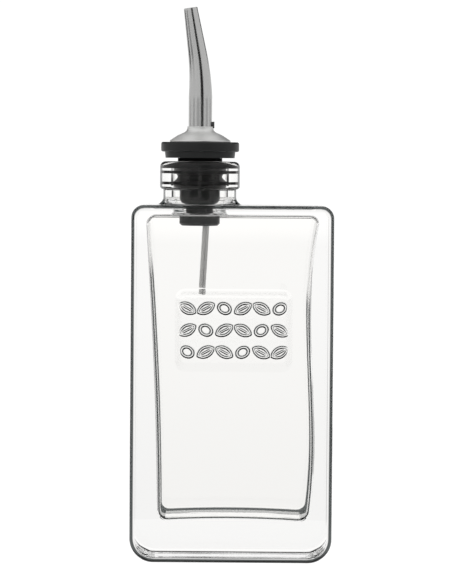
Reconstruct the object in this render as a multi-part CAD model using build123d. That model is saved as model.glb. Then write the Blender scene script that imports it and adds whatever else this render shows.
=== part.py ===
from build123d import *
import os
from math import cos, radians, sin

# Glass oil bottle with a ribbed stopper and a bent steel pourer. Millimetres, +Z up.
# The origin is the middle of the base, on the surface that the bottle stands on.
# +X runs along the wide face, and +Y points from the relief panel to the plain back face.

# Glass body: a flat flask whose neck stands off centre.
BODY_WIDTH = 78.0
BODY_DEPTH = 46.0
BODY_HEIGHT = 137.7
TOP_CORNER_RADIUS = 5.0
BOTTOM_CORNER_RADIUS = 9.3
FACE_EDGE_RADIUS = 2.0
NECK_X = -12.9

# Neck and lip.
NECK_RADIUS = 14.25
NECK_FLARE_RADIUS = 3.0
LIP_RADIUS = 15.6
LIP_BOTTOM = 143.6
LIP_TOP = 154.5
LIP_TOP_ROUND = 2.2
LIP_BOTTOM_ROUND = 1.3
LIP_INNER_ROUND = 1.0
BORE_RADIUS = 10.5

# Inside of the body: thick base, side walls that thicken downwards.
CAVITY_DEPTH = 37.0
CAVITY_FLOOR = 16.6
CAVITY_CEILING = 134.1
CAVITY_TOP_LEFT = -33.2
CAVITY_TOP_RIGHT = 33.8
CAVITY_LEFT_MID = (-30.4, 78.0)
CAVITY_LEFT_LOW = (-28.6, 24.0)
CAVITY_RIGHT_WAIST = (30.3, 92.0)
CAVITY_RIGHT_BELLY = (32.4, 48.0)
CAVITY_RIGHT_LOW = (31.0, 24.0)
CAVITY_TOP_CORNER_RADIUS = 4.5
CAVITY_LOW_CORNER_RADIUS = 4.0
CAVITY_EDGE_RADIUS = 2.0
BORE_ROOT_RADIUS = 0.8

# Relief panel, sunk in the front face so that its motifs finish level with the face.
PANEL_WIDTH = 46.0
PANEL_HEIGHT = 32.0
PANEL_CENTRE_X = 0.6
PANEL_CENTRE_Z = 89.8
PANEL_CORNER = 4.5
PANEL_RECESS = 0.6
MOTIF_ROWS = 3
MOTIF_ROW_PITCH = 8.4
MOTIF_COLUMNS = 6
MOTIF_PITCH = 7.1
LEAF_LENGTH = 6.6
LEAF_WIDTH = 3.5
LEAF_TILT = 28.0

# Stopper plug: flange, step and barrel in one moulding.
PLUG_BOTTOM = 129.5
STEP_BOTTOM = 155.8
FLANGE_BOTTOM = 158.2
FLANGE_TOP = 162.0
FLANGE_RADIUS = 15.2
FLANGE_EDGE_ROUND = 0.8
STEP_RADIUS = 13.75
STEP_LOW_RADIUS = 13.45
BARREL_RADIUS = 7.85
BARREL_END_CHAMFER = 0.9
PLUG_BORE_RADIUS = 5.55

# Ribbed seal sleeve stretched over the barrel.
SLEEVE_CLEARANCE = 0.02
SEAL_CLEARANCE = 0.05
SLEEVE_WAIST_RADIUS = 8.65
SLEEVE_BOTTOM = 144.0
SLEEVE_END_WALL = 0.5
SLEEVE_EDGE_ROUND = 0.3
UPPER_RIB = (154.0, 150.4)
WAIST = (148.8, 148.3)
LOWER_RIB = (147.2, 144.9)

# Pourer: shank in the plug, pressed cap, bent tapered tube and air tube.
SHANK_RADIUS = 5.5
SHANK_WALL = 0.5
SHANK_BOTTOM = 140.0
CAP_LIFT = 0.05
CAP_JOINT_GAP = 0.02
CAP_RIM_RADIUS = 11.8
CAP_RIM_HEIGHT = 0.9
CAP_SHOULDER = (9.4, 164.4)
CAP_THROAT = (6.5, 165.7)
CAP_COLLAR_RADIUS = 5.2
CAP_COLLAR_TOP = 168.0
TUBE_RADIUS = 4.5
TUBE_WALL = 0.45
TUBE_BOTTOM = 165.0
TUBE_BEND_START = 180.0
TUBE_BEND_RADIUS = 108.0
TUBE_LEAN = 9.2
TUBE_END_LENGTH = 17.6
TUBE_TIP_RADIUS = 2.6
TUBE_BEND_SECTIONS = 5

AIR_TUBE_RADIUS = 1.3
AIR_TUBE_BORE = 0.85
AIR_TUBE_END = (1.2, 105.3)
AIR_TUBE_KNEE = (2.5, 129.5)
AIR_TUBE_BEND_RADIUS = 3.0
AIR_TUBE_KNEE_RADIUS = 20.0
VENT_HEIGHT = 168.7
VENT_REACH = 5.5


def revolve_about_neck(outline):
    """Turns a closed (radius, height) outline about the neck's axis."""
    face = make_face(outline)
    return Pos(NECK_X, 0, 0) * revolve(Plane.XZ * face, Axis.Z)


def extrude_front_outline(face, depth):
    """Gives a face drawn in X and Z a thickness centred on Y = 0."""
    return extrude(Plane.XZ * face, depth / 2, both=True)


def outline_edges_at(solid, y):
    """The edges of a front or back face, which lie in one plane of constant Y."""
    return [e for e in solid.edges() if abs(e.bounding_box().min.Y - y) < 1e-4
            and abs(e.bounding_box().max.Y - y) < 1e-4]


def body_block():
    """The outside of the flask without its neck."""
    half = BODY_WIDTH / 2
    outline = Polyline((-half, 0), (half, 0), (half, BODY_HEIGHT), (-half, BODY_HEIGHT), close=True)
    face = make_face(outline)
    face = fillet(face.vertices().group_by(Axis.Y)[0], BOTTOM_CORNER_RADIUS)
    face = fillet(face.vertices().group_by(Axis.Y)[-1], TOP_CORNER_RADIUS)
    block = extrude_front_outline(face, BODY_DEPTH)
    edges = outline_edges_at(block, BODY_DEPTH / 2) + outline_edges_at(block, -BODY_DEPTH / 2)
    return fillet(edges, FACE_EDGE_RADIUS)


def circles(solid, radius, height):
    """The circular edges of one radius at one height."""
    found = solid.edges().filter_by(GeomType.CIRCLE)
    return [e for e in found if abs(e.radius - radius) < 1e-4 and abs(e.center().Z - height) < 1e-4]


def neck_blank():
    """Neck and lip as one turned solid that starts inside the shoulder."""
    sunk = BODY_HEIGHT - 2.0
    outline = Polyline((0, sunk), (NECK_RADIUS, sunk), (NECK_RADIUS, LIP_BOTTOM),
                       (LIP_RADIUS, LIP_BOTTOM), (LIP_RADIUS, LIP_TOP), (0, LIP_TOP), close=True)
    neck = revolve_about_neck(outline)
    neck = fillet(circles(neck, LIP_RADIUS, LIP_TOP), LIP_TOP_ROUND)
    return fillet(circles(neck, LIP_RADIUS, LIP_BOTTOM), LIP_BOTTOM_ROUND)


def cavity():
    """The space for the oil: an irregular blown outline with rounded edges."""
    left = Spline((CAVITY_TOP_LEFT, CAVITY_CEILING), CAVITY_LEFT_MID, (CAVITY_LEFT_LOW[0], CAVITY_FLOOR))
    floor = Line((CAVITY_LEFT_LOW[0], CAVITY_FLOOR), (CAVITY_RIGHT_LOW[0], CAVITY_FLOOR))
    right = Spline((CAVITY_RIGHT_LOW[0], CAVITY_FLOOR), CAVITY_RIGHT_BELLY, CAVITY_RIGHT_WAIST,
                   (CAVITY_TOP_RIGHT, CAVITY_CEILING))
    ceiling = Line((CAVITY_TOP_RIGHT, CAVITY_CEILING), (CAVITY_TOP_LEFT, CAVITY_CEILING))
    face = make_face(left + floor + right + ceiling)
    face = fillet(face.vertices().group_by(Axis.Y)[0], CAVITY_LOW_CORNER_RADIUS)
    face = fillet(face.vertices().group_by(Axis.Y)[-1], CAVITY_TOP_CORNER_RADIUS)
    space = extrude_front_outline(face, CAVITY_DEPTH)
    edges = outline_edges_at(space, CAVITY_DEPTH / 2) + outline_edges_at(space, -CAVITY_DEPTH / 2)
    return fillet(edges, CAVITY_EDGE_RADIUS)


def leaf():
    """One pointed leaf, drawn in X and Z about its own centre."""
    tip = LEAF_LENGTH / 2
    upper = ThreePointArc((-tip, 0), (0, LEAF_WIDTH / 2), (tip, 0))
    lower = ThreePointArc((tip, 0), (0, -LEAF_WIDTH / 2), (-tip, 0))
    return make_face(upper + lower)


def panel_cutter():
    """The panel's recess, with the leaf motifs left standing in it."""
    front = BODY_DEPTH / 2
    plane = Plane(origin=(PANEL_CENTRE_X, -front, PANEL_CENTRE_Z), x_dir=(1, 0, 0), z_dir=(0, -1, 0))
    recess = RectangleRounded(PANEL_WIDTH, PANEL_HEIGHT, PANEL_CORNER)
    for row in range(MOTIF_ROWS):
        y = (row - (MOTIF_ROWS - 1) / 2) * MOTIF_ROW_PITCH
        for column in range(MOTIF_COLUMNS):
            x = (column - (MOTIF_COLUMNS - 1) / 2) * MOTIF_PITCH
            tilt = LEAF_TILT if (row + column) % 2 else -LEAF_TILT
            recess -= Pos(x, y) * Rot(0, 0, tilt) * leaf()
    return extrude(plane * recess, -PANEL_RECESS)


def glass_bottle():
    """Body, neck, cavity, bore and relief panel in one piece of glass."""
    glass = body_block() + neck_blank()
    glass = fillet(circles(glass, NECK_RADIUS, BODY_HEIGHT), NECK_FLARE_RADIUS)
    bore_height = LIP_TOP - CAVITY_CEILING + 1.0
    bore = Cylinder(BORE_RADIUS, bore_height, align=(Align.CENTER, Align.CENTER, Align.MIN))
    inside = cavity() + Pos(NECK_X, 0, CAVITY_CEILING - 1.0) * bore
    inside = fillet(circles(inside, BORE_RADIUS, CAVITY_CEILING), BORE_ROOT_RADIUS)
    glass -= inside
    glass = fillet(circles(glass, BORE_RADIUS, LIP_TOP), LIP_INNER_ROUND)
    return glass - panel_cutter()


def stopper_plug():
    """Flange, step and hollow barrel."""
    outline = Polyline((PLUG_BORE_RADIUS, PLUG_BOTTOM), (BARREL_RADIUS, PLUG_BOTTOM),
                       (BARREL_RADIUS, STEP_BOTTOM), (STEP_LOW_RADIUS, STEP_BOTTOM),
                       (STEP_RADIUS, FLANGE_BOTTOM), (FLANGE_RADIUS, FLANGE_BOTTOM),
                       (FLANGE_RADIUS, FLANGE_TOP), (PLUG_BORE_RADIUS, FLANGE_TOP), close=True)
    plug = revolve_about_neck(outline)
    plug = chamfer(circles(plug, BARREL_RADIUS, PLUG_BOTTOM), BARREL_END_CHAMFER)
    rims = circles(plug, FLANGE_RADIUS, FLANGE_TOP) + circles(plug, FLANGE_RADIUS, FLANGE_BOTTOM)
    return fillet(rims, FLANGE_EDGE_ROUND)


def seal_sleeve():
    """Soft sleeve with two sealing ribs and a waist between them."""
    inner = BARREL_RADIUS + SLEEVE_CLEARANCE
    rib = BORE_RADIUS - SEAL_CLEARANCE
    outline = Polyline((inner, SLEEVE_BOTTOM), (inner + SLEEVE_END_WALL, SLEEVE_BOTTOM),
                       (rib, LOWER_RIB[1]), (rib, LOWER_RIB[0]), (SLEEVE_WAIST_RADIUS, WAIST[1]),
                       (SLEEVE_WAIST_RADIUS, WAIST[0]), (rib, UPPER_RIB[1]), (rib, UPPER_RIB[0]),
                       (SLEEVE_WAIST_RADIUS, UPPER_RIB[0]), (SLEEVE_WAIST_RADIUS, STEP_BOTTOM),
                       (inner, STEP_BOTTOM), close=True)
    sleeve = revolve_about_neck(outline)
    return fillet(circles(sleeve, rib, UPPER_RIB[0]), SLEEVE_EDGE_ROUND)


def cap_outline(offset, bottom):
    """Points of the bell-shaped cap, from rim to collar, moved inwards by a wall's thickness."""
    collar_foot = CAP_THROAT[1] + 1.0
    return [(CAP_RIM_RADIUS - offset, bottom),
            (CAP_RIM_RADIUS - offset, bottom + CAP_RIM_HEIGHT - offset / 2),
            (CAP_SHOULDER[0] - offset / 2, CAP_SHOULDER[1] - offset),
            (CAP_THROAT[0] - offset / 2, CAP_THROAT[1] - offset),
            (CAP_COLLAR_RADIUS - offset, collar_foot - offset / 2),
            (CAP_COLLAR_RADIUS - offset, CAP_COLLAR_TOP)]


def base_cap(air_envelope):
    """Pressed steel bell that covers the plug and carries the tube in its collar."""
    bottom = FLANGE_TOP + CAP_LIFT
    outer = cap_outline(0, bottom)
    wall = CAP_COLLAR_RADIUS - TUBE_RADIUS - CAP_JOINT_GAP
    inner = cap_outline(wall, bottom)
    outside = Polyline(*outer[:2]) + Spline(*outer[1:5]) + Polyline(*outer[4:])
    inside = Polyline(*inner[:2]) + Spline(*inner[1:5]) + Polyline(*inner[4:])
    ends = Line(outer[0], inner[0]) + Line(outer[-1], inner[-1])
    cap = revolve_about_neck(outside + inside + ends)
    return cap - air_envelope


def tube_plane(drop, lean):
    """A plane across the tube: drop is the length along its axis above the bend's start."""
    angle = radians(lean)
    bend_x = -TUBE_BEND_RADIUS * (1 - cos(angle))
    bend_z = TUBE_BEND_RADIUS * sin(angle)
    x = NECK_X + bend_x - drop * sin(angle)
    z = TUBE_BEND_START + bend_z + drop * cos(angle)
    return Plane(origin=(x, 0, z), x_dir=(cos(angle), 0, sin(angle)), z_dir=(-sin(angle), 0, cos(angle)))


def tube_core(inset):
    """The tube as a solid rod, inset by a wall's thickness from its outside."""
    bend_length = radians(TUBE_LEAN) * TUBE_BEND_RADIUS
    taper = (TUBE_RADIUS - TUBE_TIP_RADIUS) / (bend_length + TUBE_END_LENGTH)
    straight = TUBE_BEND_START - TUBE_BOTTOM
    rod = Cylinder(TUBE_RADIUS - inset, straight, align=(Align.CENTER, Align.CENTER, Align.MIN))
    rod = Pos(NECK_X, 0, TUBE_BOTTOM) * rod
    sections = []
    for step in range(TUBE_BEND_SECTIONS):
        share = step / (TUBE_BEND_SECTIONS - 1)
        radius = TUBE_RADIUS - inset - taper * bend_length * share
        sections.append(tube_plane(0, TUBE_LEAN * share) * Circle(radius))
    rod += loft(sections)
    knee = TUBE_RADIUS - inset - taper * bend_length
    end = [tube_plane(0, TUBE_LEAN) * Circle(knee),
           tube_plane(TUBE_END_LENGTH, TUBE_LEAN) * Circle(TUBE_TIP_RADIUS - inset)]
    return rod + loft(end, ruled=True)


def spout_tube(air_envelope):
    """Bent, tapered pouring tube, open at both ends, with the vent's hole in its wall."""
    return tube_core(0) - tube_core(TUBE_WALL) - air_envelope


def spout_shank():
    """Flanged steel sleeve: the cap sits on its flange, and it turns in the plug's bore."""
    seat = FLANGE_TOP + CAP_LIFT
    bore = SHANK_RADIUS - SHANK_WALL
    flange = CAP_RIM_RADIUS - (CAP_COLLAR_RADIUS - TUBE_RADIUS) - CAP_JOINT_GAP
    outline = Polyline((bore, SHANK_BOTTOM), (SHANK_RADIUS, SHANK_BOTTOM), (SHANK_RADIUS, seat),
                       (flange, seat), (flange, seat + SHANK_WALL), (bore, seat + SHANK_WALL),
                       close=True)
    return revolve_about_neck(outline)


def air_tube_path():
    """From the open lower end, up through the plug, and out sideways above the cap."""
    points = [(NECK_X + AIR_TUBE_END[0], 0, AIR_TUBE_END[1]),
              (NECK_X + AIR_TUBE_KNEE[0], 0, AIR_TUBE_KNEE[1]),
              (NECK_X + AIR_TUBE_KNEE[0], 0, VENT_HEIGHT),
              (NECK_X + VENT_REACH, 0, VENT_HEIGHT)]
    reach = VENT_REACH - AIR_TUBE_KNEE[0] - 0.05
    return FilletPolyline(*points, radius=(AIR_TUBE_KNEE_RADIUS, min(AIR_TUBE_BEND_RADIUS, reach)))


def air_tube_rod(radius):
    """A solid rod along the air tube's path."""
    path = air_tube_path()
    return sweep(Plane(path @ 0, z_dir=path % 0) * Circle(radius), path)


def write(name, solid):
    """Writes one node's STEP file."""
    export_step(solid, f"parts/{name}.step")


os.makedirs("parts", exist_ok=True)
air_envelope = air_tube_rod(AIR_TUBE_RADIUS)
write("glass_bottle", glass_bottle())
write("stopper_plug", stopper_plug())
write("seal_sleeve", seal_sleeve())
write("base_cap", base_cap(air_envelope))
write("spout_tube", spout_tube(air_envelope))
write("spout_shank", spout_shank())
write("air_tube", air_envelope - air_tube_rod(AIR_TUBE_BORE))
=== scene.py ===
"""Looks of the glass oil bottle and its pourer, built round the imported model. Metres, +Z up."""

import math

import bpy
import numpy as np
from mathutils import Matrix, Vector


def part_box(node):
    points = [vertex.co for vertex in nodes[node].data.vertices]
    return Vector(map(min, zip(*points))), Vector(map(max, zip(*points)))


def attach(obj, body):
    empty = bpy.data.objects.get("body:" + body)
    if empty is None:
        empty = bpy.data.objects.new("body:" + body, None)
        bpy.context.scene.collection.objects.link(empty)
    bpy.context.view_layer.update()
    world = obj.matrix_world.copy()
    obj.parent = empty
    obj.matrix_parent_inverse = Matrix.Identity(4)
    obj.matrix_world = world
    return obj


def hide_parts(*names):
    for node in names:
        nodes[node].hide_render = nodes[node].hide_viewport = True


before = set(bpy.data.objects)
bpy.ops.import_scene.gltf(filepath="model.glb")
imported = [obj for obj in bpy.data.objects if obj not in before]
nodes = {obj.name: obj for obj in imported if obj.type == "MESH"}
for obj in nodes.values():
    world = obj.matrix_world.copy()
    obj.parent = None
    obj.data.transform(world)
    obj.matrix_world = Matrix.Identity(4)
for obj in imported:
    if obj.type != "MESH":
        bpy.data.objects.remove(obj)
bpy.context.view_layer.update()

MM = 0.001

# The glass, in millimetres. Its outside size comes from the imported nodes.
_, glass_high = (np.array(corner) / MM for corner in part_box("glass_bottle"))
plug_low, plug_high = (np.array(corner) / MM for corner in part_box("stopper_plug"))
BODY_HALF_WIDTH = glass_high[0]
BODY_HALF_DEPTH = glass_high[1]
LIP_TOP = glass_high[2]
NECK_X = (plug_low[0] + plug_high[0]) / 2
FLANGE_TOP = plug_high[2]
BODY_TOP = LIP_TOP - 16.8
TOP_CORNER = 5.0
BOTTOM_CORNER = 9.3
# Radius of the long edges of the wide faces at some heights.
FACE_EDGES = ((0, 2.2), (14, 2.0), (120, 2.0), (137, 2.0))
NECK_RADIUS = 14.25
NECK_FLARE = 3.0
LIP_RADIUS = 15.6
LIP_BOTTOM = LIP_TOP - 10.9
LIP_TOP_ROUND = 2.2
LIP_BOTTOM_ROUND = 1.3
LIP_INNER_ROUND = 1.0
BORE_RADIUS = 10.5
BORE_ROOT = 0.8
CAVITY_FLOOR = 15.6
CAVITY_FLOOR_HALF = 29.0
FLOOR_DOME = 0.9
CAVITY_CEILING = 134.1
CAVITY_HALF_DEPTH = 18.5
CAVITY_CORNER = 4.2
# Radius of the cavity's long edges at some heights: sharper towards the top.
CAVITY_EDGES = ((15.6, 1.6), (30, 1.8), (60, 1.9), (100, 1.6), (125, 1.1), (134.1, 1.0))
# Heights and sideways places of the cavity's left and right walls.
LEFT_WALL = ((16.6, -28.4), (24, -28.6), (49, -29.1), (69, -29.9),
             (88, -30.8), (108, -31.9), (133.3, -33.4))
RIGHT_WALL = ((16.6, 30.5), (24, 31.0), (48, 32.4), (69, 31.5),
              (90, 30.4), (108, 30.8), (133.3, 33.8))

# The relief panel: a shallow recess with three rows of leaves and olives standing in it.
PANEL_CENTRE = (0.6, 89.8)
PANEL_SIZE = (46.0, 32.0)
PANEL_CORNER = 4.5
PANEL_RECESS = 0.6
PANEL_WALL = 3.6
PANEL_GRID = 0.28
MOTIF_COLUMNS = 6
MOTIF_ROWS = (8.4, 0.0, -8.4)
MOTIF_PITCH = 7.1
LEAF_HALF = (3.3, 1.75)
LEAF_TILT = math.radians(28)
OLIVE_HALF = (2.3, 1.8)
STROKE = 1.25
STIPPLE = 0.03

# How finely a ring is divided.
SIDE_STEPS = 24
BACK_STEPS = 40
EDGE_STEPS = 10
CORNER_STEPS = 9
# How far the inner ring of a flat floor lies inside its outline.
FLOOR_INSET = 8.0
# Flat parts begin and end with a step this short, so that they shade flat.
HOLD = 0.12
# An inset past every corner, where a section is at its full size.
FULL = 99


def ramp(value, start, end):
    """0 before start, 1 after end, smooth between."""
    t = np.clip((value - start) / (end - start), 0, 1)
    return t * t * (3 - 2 * t)


def held(start, end, steps):
    """Positions from start to end with a short step at each end, so that flat parts shade flat."""
    sign = 1 if end > start else -1
    return [start, *np.linspace(start + sign * HOLD, end - sign * HOLD, steps - 1), end]


def spaced(start, end, half, middle, coarse):
    """Positions from start to end that are fine within half of the middle, and coarse outside."""
    low, high = middle - half, middle + half
    fine = np.linspace(low, high, round(2 * half / PANEL_GRID) + 1)[1:-1]
    before = np.linspace(start + HOLD, low, coarse)
    after = np.linspace(high, end - HOLD, coarse)
    return [start, *before, *fine, *after, end]


FINE_X = PANEL_SIZE[0] / 2 + 0.9
FINE_Z = PANEL_SIZE[1] / 2 + 0.9
FRONT_STEPS = len(spaced(-30, 30, FINE_X, PANEL_CENTRE[0], 6)) - 1


def quarter(right, half_depth, corner, edge, inset):
    """One corner of a level section, from the side's end to the face's start. right is the wall's
    place, and inset the height above the floor or below the ceiling."""
    centre = right - corner
    inset = max(min(inset, corner), 0.0)
    turn = math.acos(max(1 - inset / edge, 0.0))
    points = []
    for step in range(EDGE_STEPS + 1):
        angle = turn * step / EDGE_STEPS
        t = edge * (1 - math.cos(angle))
        reach = math.sqrt(max((corner - t) ** 2 - (corner - inset) ** 2, 0.0))
        points.append((centre + reach, half_depth - edge + edge * math.sin(angle)))
    return points


def section(left, right, half_depth, corner, edge, inset, z, panel=False):
    """A closed level section of a rounded block, counter-clockwise from the middle of its right side."""
    a = quarter(right, half_depth, corner, edge, inset)
    b = [(-x, y) for x, y in quarter(-left, half_depth, corner, edge, inset)]
    half_side = SIDE_STEPS // 2
    ring = [(a[0][0], y) for y in held(0, a[0][1], half_side)[:-1]]
    ring += a[:-1]
    ring += [(x, a[-1][1]) for x in held(a[-1][0], b[-1][0], BACK_STEPS)[:-1]]
    ring += b[::-1][:-1]
    ring += [(b[0][0], y) for y in held(b[0][1], -b[0][1], SIDE_STEPS)[:-1]]
    ring += [(x, -y) for x, y in b[:-1]]
    if panel:
        columns = spaced(b[-1][0], a[-1][0], FINE_X, PANEL_CENTRE[0], 6)
    else:
        columns = held(b[-1][0], a[-1][0], FRONT_STEPS)
    ring += [(x, -b[-1][1]) for x in columns[:-1]]
    ring += [(x, -y) for x, y in a[::-1][:-1]]
    ring += [(a[0][0], y) for y in held(-a[0][1], 0, half_side)[:-1]]
    return [(x, y, z) for x, y in ring]


def flat_section(left, right, half_depth, z, panel=False):
    """A level section with sharp corners, which lies in a flat end."""
    return section(left, right, half_depth, 0.01, 0.009, FULL, z, panel)


BODY = (-BODY_HALF_WIDTH, BODY_HALF_WIDTH, BODY_HALF_DEPTH)
BODY_TOP_SECTION = section(*BODY, TOP_CORNER, 2.0, FULL, BODY_TOP, True)
TURNS = [math.atan2(y, x - NECK_X) for x, y, _ in BODY_TOP_SECTION]


def circle(radius, z):
    """A ring about the neck's axis, in step with the body's sections."""
    return [(NECK_X + radius * math.cos(a), radius * math.sin(a), z) for a in TURNS]


def arc(cx, cz, radius, start, end, steps):
    """(radius from the axis, height) points of an arc, angles in degrees from outwards to up."""
    angles = np.radians(np.linspace(start, end, steps + 1))
    return [(cx + radius * math.cos(a), cz + radius * math.sin(a)) for a in angles]


def wall(table, z):
    """The place of a cavity's side wall at a height, smoothly between the table's points."""
    heights, places = zip(*table)
    return float(np.polyval(np.polyfit(heights, places, 4), z))


def edge_at(table, z):
    """An edge's radius at a height."""
    return float(np.interp(z, *zip(*table)))


def cavity_edge(z):
    return edge_at(CAVITY_EDGES, z)


def face_edge(z):
    return edge_at(FACE_EDGES, z)


def insets(corner, edge, steps):
    """Insets from a flat end that follow both the small edge and the large corner."""
    small = [edge * (1 - math.cos(math.radians(a))) for a in np.linspace(0, 60, steps)]
    large = np.linspace(small[-1], corner, steps)[1:]
    return small + list(large)


def leaf_distance(u, v):
    """Distance outside a pointed leaf's outline."""
    half, rise = LEAF_HALF
    radius = (half ** 2 + rise ** 2) / (2 * rise)
    drop = radius - rise
    return np.maximum(np.hypot(u, v + drop), np.hypot(u, v - drop)) - radius


def olive_distance(u, v):
    """Roughly the distance outside an olive's outline."""
    return (np.hypot(u / OLIVE_HALF[0], v / OLIVE_HALF[1]) - 1) * OLIVE_HALF[1]


def ridge(distance, width):
    """A ridge with straight flanks along the places where distance is 0."""
    return 1 - np.clip(np.abs(distance) / (width / 2), 0, 1)


def motifs(x, z):
    """How much of the recess is filled by the leaves and olives, 0 to 1."""
    filled = np.zeros_like(x)
    for row, height in enumerate(MOTIF_ROWS):
        for column in range(MOTIF_COLUMNS):
            place = (column - (MOTIF_COLUMNS - 1) / 2) * MOTIF_PITCH
            tilt = LEAF_TILT if (row + column) % 2 else -LEAF_TILT
            dx, dz = x - place, z - height
            u = dx * math.cos(tilt) + dz * math.sin(tilt)
            v = dz * math.cos(tilt) - dx * math.sin(tilt)
            if (row + column) % 3 == 2:
                shape = ridge(olive_distance(u, v), STROKE)
            else:
                vein = ridge(v, STROKE * 0.8) * ramp(-np.abs(u), -LEAF_HALF[0] * 0.8, -LEAF_HALF[0] * 0.6)
                shape = np.maximum(ridge(leaf_distance(u, v), STROKE), vein)
            filled = np.maximum(filled, shape)
    return filled


def relief(points):
    """Sinks the panel into the front face. points are an array of x, y, z rows."""
    x, z = points[:, 0] - PANEL_CENTRE[0], points[:, 2] - PANEL_CENTRE[1]
    beyond_x = np.abs(x) - PANEL_SIZE[0] / 2 + PANEL_CORNER
    beyond_z = np.abs(z) - PANEL_SIZE[1] / 2 + PANEL_CORNER
    outside = np.hypot(np.maximum(beyond_x, 0), np.maximum(beyond_z, 0)) - PANEL_CORNER
    outside += np.minimum(np.maximum(beyond_x, beyond_z), 0)
    sunk = ramp(-outside, 0, PANEL_WALL)
    grain = np.random.default_rng(5).uniform(0, 2, size=len(points)) * STIPPLE
    front = points[:, 1] < -BODY_HALF_DEPTH + 0.001
    points[:, 1] += front * sunk * (PANEL_RECESS * (1 - motifs(x, z)) + grain)
    return points


def outer_rings():
    """From the middle of the base, up the outside, over the lip."""
    flat = BODY_HALF_WIDTH - BOTTOM_CORNER - HOLD
    flat_depth = BODY_HALF_DEPTH - face_edge(0)
    rings = [flat_section(FLOOR_INSET - flat, flat - FLOOR_INSET, flat_depth - FLOOR_INSET, 0.0, True),
             flat_section(-flat, flat, flat_depth - HOLD, 0.0, True)]
    for h in insets(BOTTOM_CORNER, face_edge(0), CORNER_STEPS):
        rings.append(section(*BODY, BOTTOM_CORNER, face_edge(h), h, h, True))
    for z in spaced(BOTTOM_CORNER, BODY_TOP - TOP_CORNER, FINE_Z, PANEL_CENTRE[1], 8)[1:-1]:
        rings.append(section(*BODY, BOTTOM_CORNER, face_edge(z), FULL, z, True))
    for h in insets(TOP_CORNER, face_edge(BODY_TOP), CORNER_STEPS)[::-1]:
        rings.append(section(*BODY, TOP_CORNER, face_edge(BODY_TOP - h), h, BODY_TOP - h, True))
    flat = BODY_HALF_WIDTH - TOP_CORNER - HOLD
    flat_depth = BODY_HALF_DEPTH - face_edge(BODY_TOP)
    rings.append(flat_section(-flat, flat, flat_depth - HOLD, BODY_TOP, True))
    foot = NECK_RADIUS + NECK_FLARE
    profile = [(foot + HOLD, BODY_TOP)]
    profile += arc(foot, BODY_TOP + NECK_FLARE, NECK_FLARE, 270, 180, 10)
    profile += [(NECK_RADIUS, BODY_TOP + NECK_FLARE + HOLD), (NECK_RADIUS, LIP_BOTTOM - 0.4)]
    profile += arc(NECK_RADIUS + 0.3, LIP_BOTTOM - 0.3, 0.3, 180, 90, 4)
    profile += arc(LIP_RADIUS - LIP_BOTTOM_ROUND, LIP_BOTTOM + LIP_BOTTOM_ROUND,
                   LIP_BOTTOM_ROUND, -75, 0, 8)
    profile += [(LIP_RADIUS, LIP_BOTTOM + LIP_BOTTOM_ROUND + HOLD),
                (LIP_RADIUS, LIP_TOP - LIP_TOP_ROUND - HOLD)]
    profile += arc(LIP_RADIUS - LIP_TOP_ROUND, LIP_TOP - LIP_TOP_ROUND, LIP_TOP_ROUND, 0, 90, 10)
    profile += [(LIP_RADIUS - LIP_TOP_ROUND - HOLD, LIP_TOP),
                (BORE_RADIUS + LIP_INNER_ROUND + HOLD, LIP_TOP)]
    profile += arc(BORE_RADIUS + LIP_INNER_ROUND, LIP_TOP - LIP_INNER_ROUND, LIP_INNER_ROUND, 90, 180, 6)
    rings += [circle(radius, z) for radius, z in profile]
    return relief(np.array(rings).reshape(-1, 3)).reshape(len(rings), -1, 3)


def inner_rings():
    """From the bore's top, down the neck and the cavity's walls, to the middle of its floor."""
    profile = [(BORE_RADIUS, LIP_TOP - LIP_INNER_ROUND - HOLD)]
    root_centre = (BORE_RADIUS + BORE_ROOT, CAVITY_CEILING + BORE_ROOT)
    profile += [(BORE_RADIUS, root_centre[1] + HOLD)]
    profile += arc(*root_centre, BORE_ROOT, 180, 270, 8)
    profile += [(root_centre[0] + HOLD, CAVITY_CEILING)]
    rings = [circle(radius, z) for radius, z in profile]

    def flat_ring(z, shrink):
        edge = CAVITY_CORNER + shrink
        return flat_section(wall(LEFT_WALL, z) + edge, wall(RIGHT_WALL, z) - edge,
                            CAVITY_HALF_DEPTH - cavity_edge(z) - shrink, z)

    rings.append(flat_ring(CAVITY_CEILING, HOLD))
    upper = insets(CAVITY_CORNER, cavity_edge(CAVITY_CEILING), CORNER_STEPS)
    middle = held(CAVITY_CEILING - CAVITY_CORNER, CAVITY_FLOOR + CAVITY_CORNER, 30)[1:-1]
    lower = insets(CAVITY_CORNER, cavity_edge(CAVITY_FLOOR), CORNER_STEPS)[::-1]
    heights = [(h, CAVITY_CEILING - h) for h in upper]
    heights += [(FULL, z) for z in middle]
    heights += [(h, CAVITY_FLOOR + h) for h in lower]
    for h, z in heights:
        rings.append(section(wall(LEFT_WALL, z), wall(RIGHT_WALL, z), CAVITY_HALF_DEPTH,
                             CAVITY_CORNER, cavity_edge(z), h, z))
    rings += [flat_ring(CAVITY_FLOOR, HOLD), flat_ring(CAVITY_FLOOR, FLOOR_INSET)]
    rings = np.array(rings)
    x, z = rings[:, :, 0], rings[:, :, 2]
    # The dome lifts the floor and fades out up the walls.
    faded = ramp(-z, -CAVITY_FLOOR - 12, -CAVITY_FLOOR - 2)
    rings[:, :, 2] += FLOOR_DOME * (1 - (x / CAVITY_FLOOR_HALF) ** 2) * faded
    return rings


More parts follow.
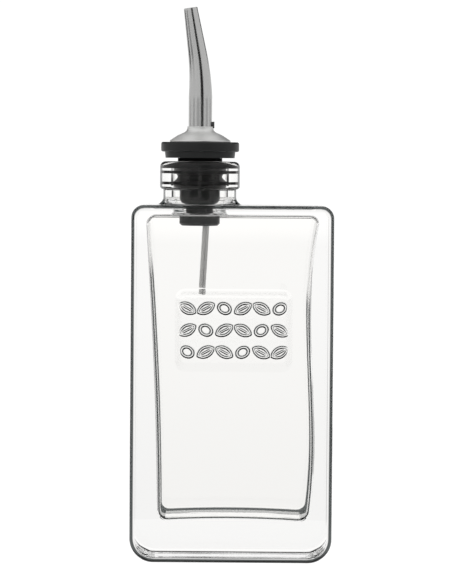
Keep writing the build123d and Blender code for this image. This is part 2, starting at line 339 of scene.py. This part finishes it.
def mesh_from_rings(name, rings, capped):
    """A closed skin through the rings: capped at the first and last, or joined from last to first."""
    rings = np.array(rings) * MM
    layers, count = rings.shape[:2]
    points = [tuple(p) for p in rings.reshape(-1, 3)]
    faces = []
    for r in range(layers - 1 if capped else layers):
        for i in range(count):
            j = (i + 1) % count
            above = (r + 1) % layers * count
            faces.append((r * count + i, r * count + j, above + j, above + i))
    for ring, flip in ((0, True), (layers - 1, False)) if capped else ():
        points.append(tuple(rings[ring].mean(axis=0)))
        for i in range(count):
            a, b = ring * count + i, ring * count + (i + 1) % count
            faces.append((b, a, len(points) - 1) if flip else (a, b, len(points) - 1))
    mesh = bpy.data.meshes.new(name)
    mesh.from_pydata(points, [], faces)
    mesh.validate()
    mesh.shade_smooth()
    obj = bpy.data.objects.new(name, mesh)
    bpy.context.collection.objects.link(obj)
    merge = obj.modifiers.new("merge", "WELD")
    merge.merge_threshold = 0.001 * MM
    return obj


def lathe(name, profile, steps=128):
    """Turns a closed (radius, height) profile about the neck's axis."""
    turns = [2 * math.pi * i / steps for i in range(steps)]
    rings = [[(NECK_X + r * math.cos(a), r * math.sin(a), z) for a in turns] for r, z in profile]
    return mesh_from_rings(name, rings, False)


def smooth_curve(points, steps):
    """Points along a smooth curve through the given ones (Catmull-Rom)."""
    p = np.array([points[0], *points, points[-1]], dtype=float)
    curve = []
    for i in range(1, len(p) - 2):
        for t in np.linspace(0, 1, steps, endpoint=False):
            a, b, c, d = p[i - 1:i + 3]
            curve.append(tuple(0.5 * (2 * b + (c - a) * t + (2 * a - 5 * b + 4 * c - d) * t ** 2
                                      + (3 * b - a - 3 * c + d) * t ** 3)))
    return curve + [tuple(p[-1])]


# The pressed cap, from its rim to its collar, and its sheet's thickness.
CAP_POINTS = ((11.8, 0.0), (11.75, 0.55), (11.1, 1.0), (8.6, 2.6), (5.9, 3.9), (5.15, 5.0), (5.1, 6.0))
CAP_SHEET = 0.5


def cap_mesh():
    base = FLANGE_TOP + 0.05
    outer = [(r, base + z) for r, z in smooth_curve(CAP_POINTS, 8)]
    inner = [(r - CAP_SHEET, z - (CAP_SHEET if 0 < i < len(outer) - 1 else 0) * 0.6)
             for i, (r, z) in enumerate(outer)]
    inner = [(r, max(z, base)) for r, z in inner]
    return lathe("cap_looks", outer + inner[::-1])


# The pouring tube: straight, then a gentle bend, then straight and tapered to the tip.
TUBE_RADIUS = 4.6
TUBE_TIP_RADIUS = 2.7
TUBE_WALL = 0.45
TUBE_BOTTOM = 165.0
TUBE_BEND_START = 180.0
TUBE_BEND_RADIUS = 108.0
TUBE_LEAN = math.radians(9.2)
TUBE_END_LENGTH = 17.1


def tube_station(along):
    """Centre x, centre z and lean of the tube at a length past the start of its bend."""
    bent = min(max(along, 0.0) / TUBE_BEND_RADIUS, TUBE_LEAN)
    past = along - bent * TUBE_BEND_RADIUS
    x = NECK_X - TUBE_BEND_RADIUS * (1 - math.cos(bent)) - past * math.sin(bent)
    z = TUBE_BEND_START + TUBE_BEND_RADIUS * math.sin(bent) + past * math.cos(bent)
    return x, z, bent


def tube_mesh(steps=96):
    length = TUBE_LEAN * TUBE_BEND_RADIUS + TUBE_END_LENGTH
    stations = [*np.linspace(TUBE_BOTTOM - TUBE_BEND_START, 0, 12), *np.linspace(0, length, 40)[1:]]

    def ring(along, radius):
        x, z, lean = tube_station(along)
        points = []
        for i in range(steps):
            a = 2 * math.pi * i / steps
            across = radius * math.cos(a)
            points.append((x + across * math.cos(lean), radius * math.sin(a), z + across * math.sin(lean)))
        return points

    def radius_at(along):
        return TUBE_RADIUS + (TUBE_TIP_RADIUS - TUBE_RADIUS) * max(along, 0) / length

    rings = [ring(s, radius_at(s)) for s in stations[:-1]]
    half = TUBE_WALL / 2
    for angle in np.radians(np.linspace(0, 180, 9)):
        rings.append(ring(length - half + half * math.sin(angle),
                          TUBE_TIP_RADIUS - half + half * math.cos(angle)))
    rings += [ring(s, radius_at(s) - TUBE_WALL) for s in stations[::-1][1:]]
    return mesh_from_rings("spout_looks", rings, False)


# Heights of the sleeve's sealing ridges, a pair to each rib, which press against the bore.
RIDGES = ((144.35, 146.0), (150.3, 152.3))
RIDGE_HALF = 0.7
RIDGE_REACH = 10.6
SLEEVE_INNER = 7.86
SLEEVE_WAIST = 8.65
SLEEVE_RIB = 10.15


def sleeve_mesh():
    """Soft sleeve with two ribs, each with two sealing ridges."""
    profile = [(SLEEVE_INNER, 143.9), (8.4, 143.9), (9.6, 144.0)]
    for low, high in RIDGES:
        upper = (low, high) == RIDGES[1]
        if upper:
            profile += [(SLEEVE_RIB - 0.9, 149.6)]
        for middle in (low, high):
            for angle in np.radians(np.linspace(-90, 90, 9)):
                reach = SLEEVE_RIB + (RIDGE_REACH - SLEEVE_RIB) * math.cos(angle) ** 0.5
                profile.append((reach, middle + RIDGE_HALF * math.sin(angle)))
        if not upper:
            profile += [(9.6, 147.2), (SLEEVE_WAIST, 148.2), (SLEEVE_WAIST, 148.8)]
    profile += [(SLEEVE_RIB, 153.6), (SLEEVE_RIB - 0.15, 153.9), (SLEEVE_RIB - 0.5, 154.0),
                (SLEEVE_WAIST, 154.05), (SLEEVE_WAIST, 155.75), (SLEEVE_INNER, 155.75)]
    return lathe("sleeve_looks", profile)


class Nodes:
    """A short way to build one material's or world's node tree."""

    def __init__(self, tree):
        self.tree = tree

    def add(self, kind, **inputs):
        node = self.tree.nodes.new("ShaderNode" + kind)
        for name, value in inputs.items():
            self.put(node, name.replace("_", " "), value)
        return node

    def put(self, node, name, value):
        if isinstance(value, bpy.types.NodeSocket):
            self.tree.links.new(value, node.inputs[name])
        else:
            node.inputs[name].default_value = value

    def maths(self, operation, *values):
        node = self.add("Math")
        node.operation = operation
        for i, value in enumerate(values):
            self.put(node, i, value)
        return node.outputs[0]

    def step(self, value, start, end, low=0.0, high=1.0):
        """low before start, high after end, smooth between."""
        node = self.add("MapRange", Value=value, From_Min=start, From_Max=end, To_Min=low, To_Max=high)
        node.interpolation_type = "SMOOTHSTEP"
        return node.outputs["Result"]

    def band(self, value, start, rise, fall, end):
        """1 between rise and fall, 0 outside start and end."""
        return self.maths("SUBTRACT", self.step(value, start, rise), self.step(value, fall, end))

    def most(self, first, *others):
        for other in others:
            first = self.maths("MAXIMUM", first, other)
        return first

    def noise(self, scale, stretch=(1, 1, 1), detail=3.0):
        """Noise through the object's own coordinates, scale in features per metre."""
        place = self.add("TexCoord").outputs["Object"]
        mapping = self.add("Mapping", Vector=place, Scale=stretch)
        return self.add("TexNoise", Vector=mapping.outputs[0], Scale=scale, Detail=detail).outputs["Fac"]

    def attribute(self, name):
        node = self.add("Attribute")
        node.attribute_name = name
        return node.outputs["Fac"]

    def mix(self, factor, a, b):
        node = self.add("Mix", Factor=factor)
        node.data_type = "RGBA"
        for socket, colour in zip([s for s in node.inputs if s.type == "RGBA"], (a, b)):
            socket.default_value = (*colour, 1)
        return [s for s in node.outputs if s.type == "RGBA"][0]

    def shade(self, colour, factor):
        """A colour made darker by a factor."""
        node = self.add("VectorMath")
        node.operation = "SCALE"
        self.put(node, 0, colour)
        self.put(node, "Scale", factor)
        return node.outputs[0]


def material(name):
    mat = bpy.data.materials.new(name)
    mat.use_nodes = True
    return mat, Nodes(mat.node_tree), mat.node_tree.nodes["Principled BSDF"]


GLASS_COLOUR = (1.0, 0.9965, 0.9875)
# The colour of the painted shade on the glass's edges, in place of the dark surroundings seen in the
# glass.
GLASS_PAINTED_SHADE_COLOUR = (0.01, 0.012, 0.012)


def clear_glass():
    """Clear soda glass: faintly wavy from the mould, with painted shade: its colour is painted dark where
    the skin turns away, in place of the dark surroundings seen in the glass. Its head-on reflection is
    weaker than real glass has, so that the black stopper stays black."""
    mat, n, shader = material("clear_glass")
    n.put(shader, "Transmission Weight", 1.0)
    n.put(shader, "IOR", 1.5)
    n.put(shader, "Roughness", 0.0)
    n.put(shader, "Specular Tint", (0.3, 0.3, 0.3, 1))
    turned = n.add("LayerWeight", Blend=0.5).outputs["Facing"]
    x, y, z = n.add("SeparateXYZ", Vector=n.add("TexCoord").outputs["Object"]).outputs
    inner = n.attribute("inner")
    outer = n.maths("SUBTRACT", 1.0, inner)
    facing = n.add("SeparateXYZ", Vector=n.add("NewGeometry").outputs["Normal"]).outputs
    facing = [n.maths("ABSOLUTE", part) for part in facing]
    upright = facing[2]

    # On the neck's round wall the painted edge shade starts nearer the outline.
    neck = n.step(z, BODY_TOP * MM, (BODY_TOP + 0.4) * MM)
    turned_enough = n.maths("SUBTRACT", turned, n.maths("MULTIPLY", neck, 0.6))
    outer_painted_shade = n.step(turned_enough, 0.015, 0.11)
    inner_painted_shade = n.step(turned_enough, 0.01, 0.07)

    # The cavity's painted dark side lines fade out upwards, sooner on the right.
    side = n.step(upright, 0.2, 0.5, 1.0, 0.0)
    fade = n.step(n.maths("ADD", z, n.maths("MULTIPLY", x, 0.2)), 0.1035, 0.114)
    fade = n.maths("MULTIPLY", fade, n.maths("MULTIPLY", side, 0.85))
    inner_painted_shade = n.maths("MULTIPLY", inner_painted_shade, n.maths("SUBTRACT", 1.0, fade))

    # The far edge of the base is left without painted shade.
    foot = n.maths("MULTIPLY", n.step(z, 0.010, 0.014, 1.0, 0.0), n.step(y, 0.0, 0.005))
    outer_painted_shade = n.maths("MULTIPLY", outer_painted_shade, n.maths("SUBTRACT", 1.0, foot))
    edge = n.maths("ADD", n.maths("MULTIPLY", inner, inner_painted_shade),
                   n.maths("MULTIPLY", outer, outer_painted_shade))

    # Rounded places take the painted shade, and so do the neck and, at a grazing angle, the cavity's
    # upright walls. The outer flat walls stay clear from every side.
    rounded = n.step(n.most(*facing), 0.955, 0.98, 1.0, 0.0)
    grazed = n.maths("MULTIPLY", n.step(turned, 0.8, 0.92), n.maths("MULTIPLY", side, inner))
    neck_wall = n.maths("MULTIPLY", neck, n.step(upright, 0.9, 0.99, 1.0, 0.0))
    edge = n.maths("MULTIPLY", edge, n.most(rounded, grazed, neck_wall))
    # Painted shade: the glass's colour turns near black wherever this edge mask is high.
    n.put(shader, "Base Color", n.mix(edge, GLASS_COLOUR, GLASS_PAINTED_SHADE_COLOUR))
    bump = n.add("Bump", Height=n.noise(45, detail=1.0), Strength=0.05, Distance=0.0004)
    n.put(shader, "Normal", bump.outputs[0])
    return mat


def steel(name, colour, roughness, stretch, painted_shade_above=None):
    """Drawn or pressed steel: fine lines along the drawing, soft smudges, slight tone changes.
    Past a given height its colour is painted dark, as painted shade for the inside of the vent's opening."""
    mat, n, shader = material(name)
    lines = n.noise(6000, stretch)
    smudge = n.noise(90, detail=4.0)
    dark = tuple(c * 0.9 for c in colour)
    tone = n.mix(smudge, dark, tuple(min(c * 1.08, 1) for c in colour))
    if painted_shade_above:
        height = n.add("SeparateXYZ", Vector=n.add("TexCoord").outputs["Object"]).outputs[2]
        # Painted shade: above the vent's height the colour is darkened, standing in for the shade inside
        # the vent's opening.
        tone = n.shade(tone, n.step(height, painted_shade_above, painted_shade_above + MM, 1.0, 0.12))
    n.put(shader, "Base Color", tone)
    n.put(shader, "Metallic", 1.0)
    n.put(shader, "Roughness", n.maths("ADD", n.step(smudge, 0.3, 0.7, roughness * 0.8, roughness * 1.2),
                                       n.maths("MULTIPLY", lines, 0.04)))
    bump = n.add("Bump", Height=lines, Strength=0.01, Distance=0.000004)
    n.put(shader, "Normal", bump.outputs[0])
    return mat


def polymer(name, colour, roughness, grain, bump_height):
    """Moulded black plastic or rubber: fine grain and slight changes of tone and gloss."""
    mat, n, shader = material(name)
    cloud = n.noise(160, detail=4.0)
    fine = n.noise(grain, detail=2.0)
    darker, lighter = (tuple(c * factor for c in colour) for factor in (0.7, 1.3))
    n.put(shader, "Base Color", n.mix(cloud, darker, lighter))
    n.put(shader, "Specular IOR Level", 0.25)
    n.put(shader, "Roughness", n.step(cloud, 0.3, 0.7, roughness - 0.06, roughness + 0.06))
    bump = n.add("Bump", Height=fine, Strength=0.3, Distance=bump_height)
    n.put(shader, "Normal", bump.outputs[0])
    return mat


outside, inside = outer_rings(), inner_rings()
glass = mesh_from_rings("bottle_glass", [*outside, *inside], True)
# Marks the skin of the bore and the cavity.
skin = glass.data.attributes.new("inner", "FLOAT", "POINT")
first_inner = len(outside) * len(TURNS)
last_inner = first_inner + len(inside) * len(TURNS)
marks = [float(first_inner <= i < last_inner) for i in range(len(glass.data.vertices))]
skin.data.foreach_set("value", marks)

# Steel's fine lines are stretched upwards, more so on drawn steel than on pressed.
PRESSED = (1, 1, 0.1)
DRAWN = (1, 1, 0.02)
# Metres, above which the air tube is its vent, whose colour is painted dark as the shade inside its
# opening.
VENT_HEIGHT = 0.166

# Each piece with its body, the node that it replaces, its slot and its material.
pieces = (
    (glass, "bottle", "glass_bottle", "clear_glass", clear_glass()),
    (cap_mesh(), "spout", "base_cap", "satin_steel",
     steel("pressed_steel", (0.70, 0.70, 0.69), 0.45, PRESSED)),
    (tube_mesh(), "spout", "spout_tube", "satin_steel",
     steel("drawn_steel", (0.46, 0.46, 0.455), 0.16, DRAWN)),
    (sleeve_mesh(), "stopper", "seal_sleeve", "black_rubber",
     polymer("black_rubber", (0.010, 0.010, 0.010), 0.55, 2400, 0.00002)),
)
for piece, body, node, slot, mat in pieces:
    piece.data.materials.append(mat)
    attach(piece, body)
    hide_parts(node)

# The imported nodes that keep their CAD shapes.
kept = (
    ("stopper_plug", polymer("black_plastic", (0.011, 0.012, 0.012), 0.42, 3000, 0.00001)),
    ("spout_shank", steel("shank_steel", (0.42, 0.42, 0.415), 0.2, DRAWN)),
    ("air_tube", steel("air_tube_steel", (0.50, 0.50, 0.495), 0.3, DRAWN, VENT_HEIGHT)),
)
for node, mat in kept:
    nodes[node].data.materials.clear()
    nodes[node].data.materials.append(mat)

# Camera: level with the stopper and far off, as for a long lens, and tilted down to the bottle.
CAMERA_HEIGHT = 157.4
CAMERA_DISTANCE = 1300.0
CAMERA_X = -2.4
LENS = 265.4
SENSOR_WIDTH = 36.0
TILT = math.radians(2.37)
ROLL = math.radians(0.43)


def make_camera():
    data = bpy.data.cameras.new("camera")
    data.sensor_fit = "HORIZONTAL"
    data.sensor_width = SENSOR_WIDTH
    data.lens = LENS
    data.clip_start = 0.01
    data.clip_end = 100
    camera = bpy.data.objects.new("camera", data)
    bpy.context.collection.objects.link(camera)
    camera.matrix_world = (Matrix.Translation((CAMERA_X * MM, -CAMERA_DISTANCE * MM, CAMERA_HEIGHT * MM))
                           @ Matrix.Rotation(math.pi / 2 - TILT, 4, "X") @ Matrix.Rotation(ROLL, 4, "Z"))
    bpy.context.scene.camera = camera


make_camera()

# Dark cards in the white studio, as angles in degrees: start, full, full, end. Azimuths count from
# straight behind the bottle, so the slot is behind the camera, to its right.
CARDS = ((52, 55, 77, 80), (100, 103, 125, 128), (142, 145, 172, 175))
CARD_HEIGHT = (-9.5, -8.5, -0.5, 0.0)
RAISED_CARD = (8, 10, 38, 46)
RAISED_CARD_END = (50, 60)
SLOT_AZIMUTH = 163.5
SLOT_WIDTH = (13, 15)
SLOT_HEIGHT = (-0.5, 0.0, 26, 32)
STUDIO_LIGHT = 0.95
# A brighter band at the horizon, and a slightly darker ground below it.
LIFT = 0.06
LIFT_HEIGHT = (-1.6, -1.2, 2, 4)
SHADE = 0.045
SHADE_HEIGHT = (-6.0, -1.8)
BACKDROP_LIGHT = 1.05


def world_light():
    """A white studio with dark cards that draw the glass's edges and a line on the steel."""
    world = bpy.data.worlds.new("studio")
    bpy.context.scene.world = world
    world.use_nodes = True
    world.node_tree.nodes.clear()
    n = Nodes(world.node_tree)
    split = n.add("SeparateXYZ", Vector=n.add("TexCoord").outputs["Generated"])
    x, y, z = split.outputs
    azimuth = n.maths("MULTIPLY", n.maths("ARCTAN2", x, y), 180 / math.pi)
    off = n.maths("ABSOLUTE", azimuth)
    height = n.maths("MULTIPLY", n.maths("ARCSINE", z), 180 / math.pi)
    low = n.band(height, *CARD_HEIGHT)
    cards = n.maths("MULTIPLY", n.most(*(n.band(off, *edges) for edges in CARDS)), low)
    raised = n.maths("MULTIPLY", n.band(height, *RAISED_CARD), n.step(off, *RAISED_CARD_END, 1.0, 0.0))
    from_slot = n.maths("ABSOLUTE", n.maths("SUBTRACT", azimuth, SLOT_AZIMUTH))
    slot = n.maths("SUBTRACT", 1.0, n.step(from_slot, *SLOT_WIDTH))
    slot = n.maths("MULTIPLY", slot, n.band(height, *SLOT_HEIGHT))
    light = n.maths("SUBTRACT", STUDIO_LIGHT, n.most(cards, raised, slot))
    lift = n.maths("MULTIPLY", n.band(height, *LIFT_HEIGHT), LIFT)
    shade = n.step(height, *SHADE_HEIGHT, SHADE, 0.0)
    light = n.maths("SUBTRACT", n.maths("ADD", light, lift), shade)
    seen = n.add("LightPath").outputs["Is Camera Ray"]
    light = n.most(light, n.maths("MULTIPLY", seen, BACKDROP_LIGHT))
    shader = n.add("Background", Color=(1, 1, 1, 1), Strength=light)
    out = n.add("OutputWorld")
    n.tree.links.new(shader.outputs[0], out.inputs[0])


world_light()


FLOOR_RADIUS = 0.15
FLOOR_GREY = 0.1
FLOOR_GLOW = 0.86
FLOOR_GLOW_SEEN = 0.2


def floor():
    """A pale, evenly lit round table."""
    bpy.ops.mesh.primitive_circle_add(vertices=96, radius=FLOOR_RADIUS, fill_type="NGON",
                                      location=(0, 0, 0))
    table = bpy.context.object
    table.name = "floor"
    mat, n, shader = material("floor")
    n.put(shader, "Base Color", (FLOOR_GREY, FLOOR_GREY, FLOOR_GREY, 1))
    n.put(shader, "Roughness", 1.0)
    n.put(shader, "Specular IOR Level", 0.0)
    n.put(shader, "Emission Color", (1, 1, 1, 1))
    seen = n.add("LightPath").outputs["Is Camera Ray"]
    glow = n.maths("ADD", FLOOR_GLOW, n.maths("MULTIPLY", seen, FLOOR_GLOW_SEEN))
    n.put(shader, "Emission Strength", glow)
    table.data.materials.append(mat)


floor()

scene = bpy.context.scene
scene.view_settings.view_transform = "Standard"
scene.cycles.max_bounces = 24
scene.cycles.transmission_bounces = 24
scene.cycles.glossy_bounces = 12
